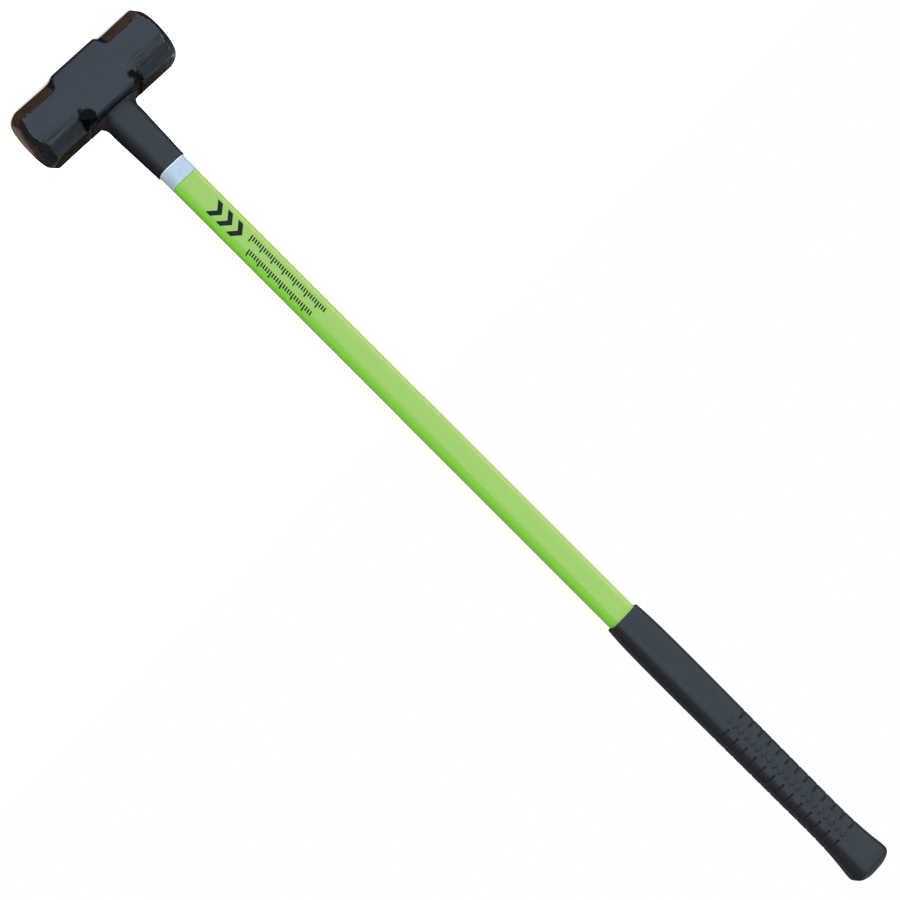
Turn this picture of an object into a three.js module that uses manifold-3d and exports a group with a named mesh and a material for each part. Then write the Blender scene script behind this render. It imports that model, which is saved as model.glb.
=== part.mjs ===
// Long-handled double-faced sledge hammer, in millimetres.
// It stands upright on its head: Z runs up the handle to the butt, X is the
// striking direction, Y is square to the cheeks. Z = 0 is the head's top face.
import * as THREE from 'three';
import { mergeVertices } from 'three/addons/utils/BufferGeometryUtils.js';
import Module from 'manifold-3d';

const wasm = await Module();
wasm.setup();

// ---- sizes that drive the model ----
const overallLength = 914.4;

// forged head: a square bar with its corners struck off at both ends
const headLength = 144.5;
const headWidth = 50.8; // across the cheeks
const headHeight = 50.8; // top face to underside
const cornerChamfer = 10.5; // what the struck-off corners take from a cheek
const blockLength = 40; // square part left around the eye
const runOutLength = 11.5; // scoop between the square part and the corner flats
const shoulderDepth = 0.9; // how far the block's top stands proud of the ends
const shoulderSetOff = 1.5; // where that step starts, past the block's edge
const shoulderDepthAtFace = 0.2; // the ends rise again towards their faces
const footRecess = 1.6; // how far its underside is sunk below theirs
const footSlope = 5; // length of the slope at each end of that hollow
const blockTopRound = 1.2;
const blockFootRound = 3.2;
const faceCrownRadius = 110;
const faceRimRadius = 22.5; // where the crowned face meets its bevel

// eye: a flattened oval, narrowest at the waist so the resin plug cannot pull out
const eyeFlatX = 6;
const eyeFlatY = 0.6;
const eyeWaistRadius = 10.2;
const eyeTopRadius = 11.8;
const eyeFootRadius = 10.8;
const eyeWaistFrom = 24;
const eyeWaistTo = 33;
const resinRecess = 1.2; // the resin stops short of the top face
const rodRecess = 0.4; // and the rod a little short of the resin

// handle section: flats this long on each side, joined by round corners
const handleFlatX = 5.8;
const handleFlatY = 4.1;
const jacketRadius = 6.6;
const jacketWall = 2.4;
const jacketEndWall = 3;
const jacketLead = 0.7; // chamfer at the end that enters the head
const jacketButtRound = 2;

// resin dam under the eye
const sealThickness = 1.8;
const sealMargin = 0.9; // how far it reaches past the eye's edge

// overstrike collar
const collarLength = 64.6;
const collarMoreX = 0.6; // what its flats have over the handle's
const collarMoreY = 0.4;
const collarLipWall = 0.4; // its end stands this much wider than the band
const collarTaper = 2; // and its neck this much wider than its end
const collarFootSwell = 0.3;
const collarLipRound = 0.4;
const collarLipOverBand = 2; // the lip covers the band's edge

// flare of the collar against the head, long in the striking direction
const flareReach = 7; // past the seal's pocket
const flareWall = 1.3; // rubber left outside the pocket
const flareHeight = 15.5;
const flareEdge = 1.2; // thickness of its rim
const flareSunk = 0.2; // its top ends this far inside the neck
const flareRoom = 0.8; // head metal kept clear round its rim

// reflective band, sunk into the jacket
const bandLength = 17.6;
const bandThickness = 0.4;
const bandRecess = 0.45;
const bandEase = 0.15; // round of its edges

// grip
const gripLength = 287.8;
const gripMoreX = 2.2; // what its flats have over the handle's
const gripMoreY = 1.7;
const gripEntryOver = -0.1; // its corner radii, against the jacket's
const gripSwellOver = 1.4;
const gripWaistOver = 0.65;
const buttOver = 3.7;
const gripEntryRound = 0.6;
const buttFlareLength = 52;
const buttDomeHeight = 8.4;
const buttWall = 11;

// side grooves and raised studs of the grip
const grooveCount = 13;
const groovePitch = 10.36;
const grooveWidth = 1.5;
const grooveDepth = 0.8;
const grooveInnerX = 6.6;
const grooveFromButt = 40.9;
const studCount = 21;
const studPitch = 6.4;
const studWidth = 6;
const studLength = 4.3;
const studHeight = 0.45;
const studSunk = 1; // rubber under a stud, inside the grip
const studEase = 0.2;
const studFromButt = 42;

// room between two pieces that touch
const fitGap = 0.25;

// mesh fineness
const sides = 48; // a multiple of four
const crownRings = 6;
const scoopSteps = 10;

// ---- places worked out from the sizes ----
const headHalf = headLength / 2;
const cheekY = headWidth / 2;
const footZ = headHeight - footRecess; // underside of the block, where the handle enters
const jacketStart = footZ + sealThickness + 2 * fitGap;
const collarStart = footZ + fitGap;
const collarEnd = footZ + collarLength;
const bandStart = collarEnd - collarLipOverBand;
const bandEnd = bandStart + bandLength;
const sealRadius = eyeFootRadius + sealMargin;
const pocketRadius = sealRadius + fitGap;
const flareRim = pocketRadius + flareReach;
const gripStart = overallLength - gripLength;
const jacketEnd = overallLength - buttWall;
const coreRadius = jacketRadius - jacketWall - fitGap;
const bandInner = jacketRadius - bandRecess + fitGap;
const bandOuter = bandInner + bandThickness;
const collarFlatX = handleFlatX + collarMoreX;
const collarFlatY = handleFlatY + collarMoreY;
const collarEndRadius = bandOuter + collarLipWall;
const collarNeckRadius = collarEndRadius + collarTaper;
const gripFlatX = handleFlatX + gripMoreX;
const gripFlatY = handleFlatY + gripMoreY;
const gripEntryRadius = jacketRadius + gripEntryOver;
const gripSwellRadius = jacketRadius + gripSwellOver;
const gripWaistRadius = jacketRadius + gripWaistOver;
const buttRadius = jacketRadius + buttOver;
const coreEnd = jacketEnd - jacketEndWall - fitGap;
const beyond = 6; // how far a cutter runs past the metal

// ---- helpers ----

// Welds a geometry, drops collapsed triangles and makes it face outwards.
function weld(geometry) {
  const bare = geometry.clone();
  bare.deleteAttribute('normal');
  bare.deleteAttribute('uv');
  const welded = mergeVertices(bare, 1e-4);
  const index = welded.index.array;
  const position = welded.attributes.position;
  const kept = [];
  const a = new THREE.Vector3();
  const b = new THREE.Vector3();
  const c = new THREE.Vector3();
  let volume = 0;
  for (let i = 0; i < index.length; i += 3) {
    const [i0, i1, i2] = [index[i], index[i + 1], index[i + 2]];
    if (i0 === i1 || i1 === i2 || i2 === i0) continue;
    kept.push(i0, i1, i2);
    a.fromBufferAttribute(position, i0);
    b.fromBufferAttribute(position, i1);
    c.fromBufferAttribute(position, i2);
    volume += a.dot(b.cross(c)) / 6;
  }
  if (volume < 0) {
    for (let i = 0; i < kept.length; i += 3) {
      [kept[i + 1], kept[i + 2]] = [kept[i + 2], kept[i + 1]];
    }
  }
  welded.setIndex(kept);
  return welded;
}

function solidOf(geometry) {
  const welded = weld(geometry);
  const mesh = new wasm.Mesh({
    numProp: 3,
    vertProperties: new Float32Array(welded.attributes.position.array),
    triVerts: new Uint32Array(welded.index.array),
  });
  return new wasm.Manifold(mesh);
}

function geometryOf(solid) {
  const mesh = solid.getMesh();
  const geometry = new THREE.BufferGeometry();
  const position = new THREE.BufferAttribute(new Float32Array(mesh.vertProperties), 3);
  geometry.setAttribute('position', position);
  geometry.setIndex(Array.from(mesh.triVerts));
  return geometry;
}

function joinAll(solids) {
  return solids.reduce((whole, piece) => whole.add(piece));
}

// Nearer the axis than this the flats of a rounded bar shrink to nothing.
const flatsFull = 2;

// A solid whose cross-section is a rectangle with round corners. The profile
// gives the corner radius against height; the flats stay the same length.
function roundedBar(profile, flatX, flatY) {
  const points = profile.map(([radius, height]) => new THREE.Vector2(radius, height));
  const lathe = new THREE.LatheGeometry(points, sides, Math.PI / sides);
  lathe.rotateX(Math.PI / 2);
  const position = lathe.attributes.position;
  for (let i = 0; i < position.count; i++) {
    const x = position.getX(i);
    const y = position.getY(i);
    const spread = Math.min(1, Math.hypot(x, y) / flatsFull);
    position.setX(i, x + Math.sign(x) * flatX * spread);
    position.setY(i, y + Math.sign(y) * flatY * spread);
  }
  const last = sides * points.length;
  for (let j = 0; j < points.length; j++) {
    position.setXYZ(last + j, position.getX(j), position.getY(j), position.getZ(j));
  }
  return solidOf(lathe);
}

// The same bar with flat ends.
function plainBar(radius, from, to, flatX, flatY) {
  return roundedBar([[0, from], [radius, from], [radius, to], [0, to]], flatX, flatY);
}

function box(sizeX, sizeY, sizeZ, x, y, z) {
  const geometry = new THREE.BoxGeometry(sizeX, sizeY, sizeZ);
  geometry.translate(x, y, z);
  return solidOf(geometry);
}

// Points along a smooth line through the given [radius, height] stations.
function smoothProfile(stations, steps) {
  const line = new THREE.CatmullRomCurve3(
    stations.map(([radius, height]) => new THREE.Vector3(radius, height, 0)),
    false,
    'centripetal',
  );
  return line.getPoints(steps).map((point) => [point.x, point.y]);
}

// Radius at a height, read off a list of [radius, height] points.
function radiusAt(profile, height) {
  for (let i = 1; i < profile.length; i++) {
    const [r0, h0] = profile[i - 1];
    const [r1, h1] = profile[i];
    if (height <= h1) return THREE.MathUtils.mapLinear(height, h0, h1, r0, r1);
  }
  return profile[profile.length - 1][0];
}

const model = new THREE.Group();
model.name = 'sledge_hammer';

function addPiece(name, solid, colour, roughness, metalness) {
  const geometry = geometryOf(solid);
  geometry.computeVertexNormals();
  const material = new THREE.MeshStandardMaterial({ color: colour, roughness, metalness });
  const mesh = new THREE.Mesh(geometry, material);
  mesh.name = name;
  model.add(mesh);
}

// ---- eye ----
// Wider at both mouths than at the waist.
function eyeSolid(shrink) {
  const stations = [
    [eyeTopRadius - shrink, 0],
    [eyeWaistRadius - shrink, eyeWaistFrom],
    [eyeWaistRadius - shrink, eyeWaistTo],
    [eyeFootRadius - shrink, footZ],
  ];
  const wall = smoothProfile(stations, 7);
  const top = wall[0][0];
  const foot = wall[wall.length - 1][0];
  const profile = [[0, -beyond], [top, -beyond], ...wall];
  profile.push([foot, footZ + beyond], [0, footZ + beyond]);
  return roundedBar(profile, eyeFlatX, eyeFlatY);
}

// ---- head ----
// A curve that leaves the block level and drops. It runs out level again, or
// where abrupt is true it meets the flat at an angle.
function runOut(from, to, depth, abrupt) {
  const length = to - from;
  const last = abrupt ? [0.62, depth * 0.62] : [0.4, depth];
  const curve = new THREE.CubicBezierCurve(
    new THREE.Vector2(from, -0.12),
    new THREE.Vector2(from + length * (abrupt ? 0.25 : 0.48), -0.1),
    new THREE.Vector2(from + length * last[0], last[1]),
    new THREE.Vector2(to, depth),
  );
  return curve.getPoints(scoopSteps);
}

// What is struck off beyond the block, as an outline of distance along the head
// against depth, pulled out square across the cut.
function strikeOff(from, to, depth, depthAtFace, across, abrupt = false) {
  const outline = new THREE.Shape();
  outline.moveTo(from, -beyond);
  for (const point of runOut(from, to, depth, abrupt)) outline.lineTo(point.x, point.y);
  outline.lineTo(headHalf + beyond, depthAtFace);
  outline.lineTo(headHalf + beyond, -beyond);
  outline.closePath();
  const cutter = new THREE.ExtrudeGeometry(outline, { depth: across, bevelEnabled: false });
  cutter.translate(0, 0, -across / 2);
  return cutter;
}

// Stands a cutter at a point, facing one end of the head and cutting inwards.
function placed(cutter, end, inward, y, z) {
  const along = new THREE.Vector3(end, 0, 0);
  const across = new THREE.Vector3().crossVectors(along, inward);
  const place = new THREE.Matrix4().makeBasis(along, inward, across);
  place.setPosition(0, y, z);
  cutter.applyMatrix4(place);
  return solidOf(cutter);
}

function endCutters() {
  const cutters = [];
  const blockHalf = blockLength / 2;
  const cornerDepth = cornerChamfer / Math.SQRT2;
  const runOutEnd = blockHalf + runOutLength;
  const shoulderFrom = blockHalf + shoulderSetOff;
  for (const end of [-1, 1]) {
    for (const up of [-1, 1]) {
      const faceZ = up > 0 ? headHeight : 0;
      for (const side of [-1, 1]) {
        const inward = new THREE.Vector3(0, -side, -up).normalize();
        const across = cornerChamfer * 2.6;
        const corner = strikeOff(blockHalf, runOutEnd, cornerDepth, cornerDepth, across, up > 0);
        cutters.push(placed(corner, end, inward, side * cheekY, faceZ));
      }
    }
    const shoulderTo = shoulderFrom + runOutLength / 2;
    const wide = headWidth * 1.2;
    const shoulder = strikeOff(shoulderFrom, shoulderTo, shoulderDepth, shoulderDepthAtFace, wide);
    cutters.push(placed(shoulder, end, new THREE.Vector3(0, 0, 1), 0, 0));
  }
  return cutters;
}

// Sinks the block's underside a little below the undersides of the two ends.
function footCutter() {
  const to = eyeFlatX + flareRim + flareRoom;
  const from = to + footSlope;
  const slope = runOut(-from, -to, footRecess, false);
  const outline = new THREE.Shape();
  outline.moveTo(-from, -beyond);
  for (const point of slope) outline.lineTo(point.x, point.y);
  for (const point of slope.reverse()) outline.lineTo(-point.x, point.y);
  outline.lineTo(from, -beyond);
  outline.closePath();
  const across = headWidth * 1.2;
  const cutter = new THREE.ExtrudeGeometry(outline, { depth: across, bevelEnabled: false });
  cutter.translate(0, 0, -across / 2);
  return placed(cutter, 1, new THREE.Vector3(0, 0, -1), 0, headHeight);
}

// What a round of this radius takes off a long edge of the bar.
function edgeRound(radius, side, up, z) {
  const outline = new THREE.Shape();
  const over = footRecess + 1;
  outline.moveTo(-1, -over);
  outline.lineTo(radius, -over);
  outline.lineTo(radius, 0);
  outline.absarc(radius, radius, radius, -Math.PI / 2, -Math.PI, true);
  outline.lineTo(-1, radius);
  outline.closePath();
  const length = headLength + 2 * beyond;
  const strip = new THREE.ExtrudeGeometry(outline, {
    depth: length,
    bevelEnabled: false,
    curveSegments: 4,
  });
  strip.translate(0, 0, -length / 2);
  const inY = new THREE.Vector3(0, -side, 0);
  const inZ = new THREE.Vector3(0, 0, -up);
  const along = new THREE.Vector3().crossVectors(inY, inZ);
  const place = new THREE.Matrix4().makeBasis(inY, inZ, along);
  place.setPosition(0, side * cheekY, z);
  strip.applyMatrix4(place);
  return solidOf(strip);
}

// Turned envelope about the head's long axis: crowned faces and 45 degree bevels.
function faceEnvelope() {
  const centre = headHalf - faceCrownRadius;
  const half = [];
  for (let i = 0; i <= crownRings; i++) {
    const radius = (faceRimRadius * i) / crownRings;
    const along = centre + Math.sqrt(faceCrownRadius ** 2 - radius ** 2);
    half.push(new THREE.Vector2(radius, along));
  }
  const rimAt = half[crownRings].y;
  const reach = Math.hypot(cheekY, headHeight / 2) + 2 - faceRimRadius;
  half.push(new THREE.Vector2(faceRimRadius + reach, rimAt - reach));
  const mirrored = half.map((point) => new THREE.Vector2(point.x, -point.y)).reverse();
  const lathe = new THREE.LatheGeometry([...half, ...mirrored], sides);
  const count = half.length * 2;
  const position = lathe.attributes.position;
  for (let j = 0; j < count; j++) {
    const last = sides * count + j;
    position.setXYZ(last, position.getX(j), position.getY(j), position.getZ(j));
  }
  lathe.rotateZ(-Math.PI / 2);
  lathe.translate(0, 0, headHeight / 2);
  return solidOf(lathe);
}

const bar = box(headLength + 2, headWidth, headHeight, 0, 0, headHeight / 2);
const edgeRounds = [
  edgeRound(blockTopRound, -1, -1, 0),
  edgeRound(blockTopRound, 1, -1, 0),
  edgeRound(blockFootRound, -1, 1, footZ),
  edgeRound(blockFootRound, 1, 1, footZ),
];
const head = bar
  .intersect(faceEnvelope())
  .subtract(joinAll(edgeRounds))
  .subtract(joinAll(endCutters()))
  .subtract(footCutter())
  .subtract(eyeSolid(0));
addPiece('hammer_head', head, 0x1b1c1f, 0.32, 0.4);

// ---- glass-fibre rod ----
const coreStart = resinRecess + rodRecess;
const core = plainBar(coreRadius, coreStart, coreEnd, handleFlatX, handleFlatY);
addPiece('fibreglass_rod', core, 0xd8cf9e, 0.55, 0);

// ---- resin plug in the eye ----
const resinBlock = box(
  headLength,
  headWidth,
  footZ - resinRecess,
  0,
  0,
  (footZ + resinRecess) / 2,
);
const rodPassage = plainBar(
  coreRadius + fitGap,
  -beyond,
  headHeight + beyond,
  handleFlatX,
  handleFlatY,
);
const resin = eyeSolid(fitGap).intersect(resinBlock).subtract(rodPassage);
addPiece('eye_resin', resin, 0x6e5a34, 0.35, 0);

// ---- resin dam ----
const sealBottom = footZ + fitGap;
const sealTop = sealBottom + sealThickness;
const seal = plainBar(sealRadius, sealBottom, sealTop, eyeFlatX, eyeFlatY).subtract(
  plainBar(coreRadius + fitGap, 0, sealTop + beyond, handleFlatX, handleFlatY),
);
addPiece('eye_seal', seal, 0x3a3633, 0.9, 0);

// ---- jacket ----
const jacketOuter = roundedBar(
  [
    [0, jacketStart],
    [jacketRadius - jacketLead, jacketStart],
    [jacketRadius, jacketStart + jacketLead],
    [jacketRadius, bandStart - fitGap],
    [jacketRadius - bandRecess, bandStart - fitGap],
    [jacketRadius - bandRecess, bandEnd + fitGap],
    [jacketRadius, bandEnd + fitGap],
    [jacketRadius, jacketEnd - jacketButtRound],
    [jacketRadius - jacketButtRound, jacketEnd],
    [0, jacketEnd],
  ],
  handleFlatX,
  handleFlatY,
);
const jacketBore = plainBar(
  coreRadius + fitGap,
  jacketStart - beyond,
  jacketEnd - jacketEndWall,
  handleFlatX,
  handleFlatY,
);
addPiece('handle_jacket', jacketOuter.subtract(jacketBore), 0x86cf3c, 0.3, 0);

// ---- reflective band ----
const band = roundedBar(
  [
    [bandInner, bandStart],
    [bandOuter - bandEase, bandStart],
    [bandOuter, bandStart + bandEase],
    [bandOuter, bandEnd - bandEase],
    [bandOuter - bandEase, bandEnd],
    [bandInner, bandEnd],
    [bandInner, bandStart],
  ],
  handleFlatX,
  handleFlatY,
);
addPiece('reflective_band', band, 0xc9dbe6, 0.35, 0.2);

// ---- overstrike collar ----
const collarSkin = smoothProfile(
  [
    [collarNeckRadius, collarStart + flareHeight],
    [(collarNeckRadius * 2 + collarEndRadius) / 3, collarStart + collarLength * 0.5],
    [(collarNeckRadius + collarEndRadius * 2) / 3, collarStart + collarLength * 0.76],
    [collarEndRadius, collarEnd - collarLipRound],
  ],
  12,
);
const collarBody = roundedBar(
  [
    [0, collarStart],
    [collarNeckRadius + collarFootSwell, collarStart],
    ...collarSkin,
    [collarEndRadius - collarLipRound / 2, collarEnd],
    [0, collarEnd],
  ],
  collarFlatX,
  collarFlatY,
);
// The flare is a hollow curve that dies out on the collar's neck. It is long in
// the striking direction and cut flat at the cheeks.
const flareNeck = collarFlatX + collarNeckRadius - eyeFlatX - flareSunk;
const flareSkin = [];
const flareSteps = 8;
for (let i = 0; i <= flareSteps; i++) {
  const turn = (i / flareSteps) * (Math.PI / 2);
  const radius = flareRim - (flareRim - flareNeck) * Math.sin(turn);
  const rise = (flareHeight - flareEdge) * (1 - Math.cos(turn));
  flareSkin.push([radius, collarStart + flareEdge + rise]);
}
const flareHalfY = Math.max(
  collarFlatY + collarNeckRadius + collarFootSwell,
  eyeFlatY + pocketRadius + flareWall,
);
const flareTop = collarStart + flareHeight;
const collarFlare = roundedBar(
  [[0, collarStart], [flareRim, collarStart], ...flareSkin, [0, flareTop]],
  eyeFlatX,
  eyeFlatY,
).intersect(box(4 * flareRim, 2 * flareHalfY, 4 * flareHeight, 0, 0, collarStart));
const sealPocket = plainBar(
  pocketRadius,
  collarStart - beyond,
  sealTop + fitGap,
  eyeFlatX,
  eyeFlatY,
);
const collarBore = plainBar(
  jacketRadius + fitGap,
  collarStart - beyond,
  collarEnd + beyond,
  handleFlatX,
  handleFlatY,
);
const lipRelief = plainBar(
  bandOuter + fitGap,
  bandStart - fitGap,
  collarEnd + beyond,
  handleFlatX,
  handleFlatY,
);
const collar = collarBody
  .add(collarFlare)
  .subtract(sealPocket)
  .subtract(collarBore)
  .subtract(lipRelief);
addPiece('overstrike_collar', collar, 0x1d1e20, 0.5, 0);

// ---- grip ----
const flareFrom = overallLength - buttFlareLength;
const rimAt = overallLength - buttDomeHeight;
const gripSkin = smoothProfile(
  [
    [gripEntryRadius, gripStart + gripEntryRound],
    [gripSwellRadius - 1.1, gripStart + 6],
    [gripSwellRadius - 0.4, gripStart + 20],
    [gripSwellRadius, gripStart + 54],
    [gripSwellRadius * 0.6 + gripWaistRadius * 0.4, gripStart + gripLength * 0.45],
    [gripWaistRadius + 0.1, gripStart + gripLength * 0.7],
    [gripWaistRadius, flareFrom],
    [THREE.MathUtils.lerp(gripWaistRadius, buttRadius, 0.28), flareFrom + buttFlareLength * 0.4],
    [THREE.MathUtils.lerp(gripWaistRadius, buttRadius, 0.6), flareFrom + buttFlareLength * 0.6],
    [buttRadius - 0.15, rimAt - 4],
    [buttRadius, rimAt],
  ],
  30,
);
// The butt is domed like half an ellipse.
const dome = [];
const domeSteps = 10;
const buttHalfX = gripFlatX + buttRadius;
for (let i = 1; i <= domeSteps; i++) {
  const turn = (i / domeSteps) * (Math.PI / 2);
  const halfX = i < domeSteps ? buttHalfX * Math.cos(turn) : 0;
  const nearAxis = (halfX * flatsFull) / (gripFlatX + flatsFull);
  const radius = Math.max(halfX - gripFlatX, nearAxis);
  dome.push([radius, rimAt + buttDomeHeight * Math.sin(turn)]);
}
const gripOuter = roundedBar(
  [[0, gripStart], [gripEntryRadius - gripEntryRound, gripStart], ...gripSkin, ...dome],
  gripFlatX,
  gripFlatY,
);
const gripBore = roundedBar(
  [
    [0, gripStart - beyond],
    [jacketRadius + fitGap, gripStart - beyond],
    [jacketRadius + fitGap, jacketEnd - jacketButtRound + fitGap],
    [jacketRadius + fitGap - jacketButtRound, jacketEnd + fitGap],
    [0, jacketEnd + fitGap],
  ],
  handleFlatX,
  handleFlatY,
);

// One groove runs from the front flat round the side to the back flat.
function sideGrooves() {
  const cutters = [];
  const reach = gripFlatX + buttRadius + beyond;
  for (let i = 0; i < grooveCount; i++) {
    const height = overallLength - grooveFromButt - i * groovePitch;
    const floor = plainBar(
      radiusAt(gripSkin, height) - grooveDepth,
      height - groovePitch / 2,
      height + groovePitch / 2,
      gripFlatX,
      gripFlatY,
    );
    for (const side of [-1, 1]) {
      const span = reach - grooveInnerX;
      const middle = side * (grooveInnerX + span / 2);
      const slot = box(span, 2 * reach, grooveWidth, middle, 0, height);
      cutters.push(slot.subtract(floor));
    }
  }
  return cutters;
}

// Raised lozenges down the middle of the front.
function frontStuds() {
  const studs = [];
  const lozenge = new THREE.Shape();
  lozenge.moveTo(studWidth / 2, 0);
  lozenge.lineTo(0, studLength / 2);
  lozenge.lineTo(-studWidth / 2, 0);
  lozenge.lineTo(0, -studLength / 2);
  lozenge.closePath();
  for (let i = 0; i < studCount; i++) {
    const height = overallLength - studFromButt - i * studPitch;
    const surface = gripFlatY + radiusAt(gripSkin, height);
    const stud = new THREE.ExtrudeGeometry(lozenge, {
      depth: studHeight + studSunk - studEase,
      bevelEnabled: true,
      bevelSize: studEase,
      bevelThickness: studEase,
      bevelOffset: -studEase,
      bevelSegments: 1,
    });
    stud.translate(0, 0, -studSunk);
    stud.rotateX(Math.PI / 2);
    stud.translate(0, -surface, height);
    studs.push(solidOf(stud));
  }
  return studs;
}

const grip = gripOuter
  .subtract(joinAll(sideGrooves()))
  .add(joinAll(frontStuds()))
  .subtract(gripBore);
addPiece('rubber_grip', grip, 0x202123, 0.6, 0);

export default model;
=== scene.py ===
import math

import bmesh
import bpy
import numpy as np
from mathutils import Matrix, Vector, noise
from mathutils.bvhtree import BVHTree


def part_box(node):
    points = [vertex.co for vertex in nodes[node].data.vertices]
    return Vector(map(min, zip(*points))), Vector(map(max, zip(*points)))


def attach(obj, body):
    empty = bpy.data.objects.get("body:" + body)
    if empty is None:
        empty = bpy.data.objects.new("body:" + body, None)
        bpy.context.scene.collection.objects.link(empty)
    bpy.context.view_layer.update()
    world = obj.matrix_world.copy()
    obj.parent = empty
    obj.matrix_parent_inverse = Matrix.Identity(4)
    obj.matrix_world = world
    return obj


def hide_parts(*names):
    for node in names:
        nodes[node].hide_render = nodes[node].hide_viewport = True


# A long-handled sledge hammer standing on its head: Z runs up the handle to the
# butt, X is the striking direction and the cheeks face -Y and +Y.
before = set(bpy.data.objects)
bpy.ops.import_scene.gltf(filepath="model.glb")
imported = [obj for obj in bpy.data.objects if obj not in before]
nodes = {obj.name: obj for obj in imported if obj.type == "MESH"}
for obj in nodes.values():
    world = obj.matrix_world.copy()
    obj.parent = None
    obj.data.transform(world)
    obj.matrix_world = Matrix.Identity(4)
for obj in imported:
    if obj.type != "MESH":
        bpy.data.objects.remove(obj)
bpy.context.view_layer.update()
mm = 0.001
weldReach = 0.01 * mm    # closes the seams between a solid's facets
print("frame loaded:", len(nodes), "nodes")


def toLinear(hexColour):
    parts = [int(hexColour[i:i + 2], 16) / 255 for i in (1, 3, 5)]
    return [c / 12.92 if c <= 0.04045 else ((c + 0.055) / 1.055) ** 2.4 for c in parts] + [1.0]


def addNode(tree, kind, inputs, out=0, **settings):
    # An input is a fixed value or another node's output. The answer is one of
    # the new node's outputs, or the node itself when out is None.
    node = tree.nodes.new("ShaderNode" + kind)
    for name, value in settings.items():
        setattr(node, name, value)
    for socket, value in inputs.items():
        if isinstance(value, bpy.types.NodeSocket):
            tree.links.new(value, node.inputs[socket])
        else:
            node.inputs[socket].default_value = value
    return node if out is None else node.outputs[out]


# settings that the nodes below share
eased = {"interpolation_type": "SMOOTHSTEP"}
plus, minus, times = ({"operation": name} for name in ("ADD", "SUBTRACT", "MULTIPLY"))
most, unsigned = ({"operation": name} for name in ("MAXIMUM", "ABSOLUTE"))
inColour = {"data_type": "RGBA"}


def perMetre(size):
    return 1 / (size * mm)   # pattern scale for a feature this many mm across


def startMaterial(name, colour, roughness, ior=1.5, metallic=0.0):
    material = bpy.data.materials.new(name)
    material.use_nodes = True
    tree = material.node_tree
    shader = tree.nodes["Principled BSDF"]
    shader.inputs["Base Color"].default_value = toLinear(colour)
    shader.inputs["Roughness"].default_value = roughness
    shader.inputs["Metallic"].default_value = metallic
    shader.inputs["IOR"].default_value = ior
    return material, tree, shader, addNode(tree, "TexCoord", {}, "Object")


def feed(tree, shader, colour, roughness, normal):
    for socket, source in (("Base Color", colour), ("Roughness", roughness), ("Normal", normal)):
        tree.links.new(source, shader.inputs[socket])


def pieceFrom(name, points, faces):
    mesh = bpy.data.meshes.new(name)
    mesh.from_pydata([tuple(p) for p in points], [], faces)
    work = bmesh.new()
    work.from_mesh(mesh)
    bmesh.ops.recalc_face_normals(work, faces=work.faces)
    work.to_mesh(mesh)
    work.free()
    mesh.polygons.foreach_set("use_smooth", [True] * len(mesh.polygons))
    piece = bpy.data.objects.new(name, mesh)
    bpy.context.scene.collection.objects.link(piece)
    return piece


def loft(name, rings, capFirst=None, capLast=None):
    # rings: equal-length lists of points. Without caps the last ring joins the first.
    count = len(rings[0])
    points = [p for ring in rings for p in ring]
    faces = []
    rows = len(rings) if capFirst is None else len(rings) - 1
    for row in range(rows):
        here, there = row * count, ((row + 1) % len(rings)) * count
        for i in range(count):
            j = (i + 1) % count
            faces.append((here + i, here + j, there + j, there + i))
    for cap, start in ((capFirst, 0), (capLast, (len(rings) - 1) * count)):
        if cap is not None:
            points.append(cap)
            faces += [(start + i, start + (i + 1) % count, len(points) - 1) for i in range(count)]
    return pieceFrom(name, points, faces)


def surfaceOf(node):
    # in millimetres, because rays miss triangles that are tiny in metres
    mesh = nodes[node].data
    return BVHTree.FromPolygons([v.co / mm for v in mesh.vertices],
                                [p.vertices for p in mesh.polygons], epsilon=1e-4)


def outlineOf(skin, angles, height, gap=0.0):
    # how far the surface lies from the axis at each angle, seen from outside
    reach = []
    for angle in angles:
        outward = Vector((math.cos(angle), math.sin(angle), 0))
        hit = skin.ray_cast(outward * 100 + Vector((0, 0, height)), -outward)[0]
        if hit is None:
            hit = skin.find_nearest(outward * reach[-1] + Vector((0, 0, height)))[0]
        reach.append(math.hypot(hit.x, hit.y) + gap)
    return np.array(reach)


def barOutline(flatX, flatY, steps):
    # A rectangle with round corners, as corner centres and outward directions,
    # anticlockwise from the left end of the front flat. steps: front flat,
    # corner, side flat, back flat.
    front, corner, side, back = steps
    centres, outwards = [], []

    def flat(start, end, outward, count):
        for i in range(count):
            part = i / count
            centres.append([a + (b - a) * part for a, b in zip(start, end)])
            outwards.append(outward)

    def turn(centre, fromDegrees, count):
        for i in range(count):
            angle = math.radians(fromDegrees + 90 * i / count)
            centres.append(centre)
            outwards.append((math.cos(angle), math.sin(angle)))

    flat((-flatX, -flatY), (flatX, -flatY), (0, -1), front)
    turn((flatX, -flatY), -90, corner)
    flat((flatX, -flatY), (flatX, flatY), (1, 0), side)
    turn((flatX, flatY), 0, corner)
    flat((flatX, flatY), (-flatX, flatY), (0, 1), back)
    turn((-flatX, flatY), 90, corner)
    flat((-flatX, flatY), (-flatX, -flatY), (-1, 0), side)
    turn((-flatX, -flatY), 180, corner)
    return np.array(centres, float), np.array(outwards, float)


def ringAt(centres, outwards, radius, height, shrink=1.0):
    flat = centres * shrink + outwards * np.reshape(radius, (-1, 1))
    return [(x * mm, y * mm, height * mm) for x, y in flat]


def smoothStep(low, high, value):
    part = np.clip((value - low) / (high - low), 0, 1)
    return part * part * (3 - 2 * part)


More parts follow.
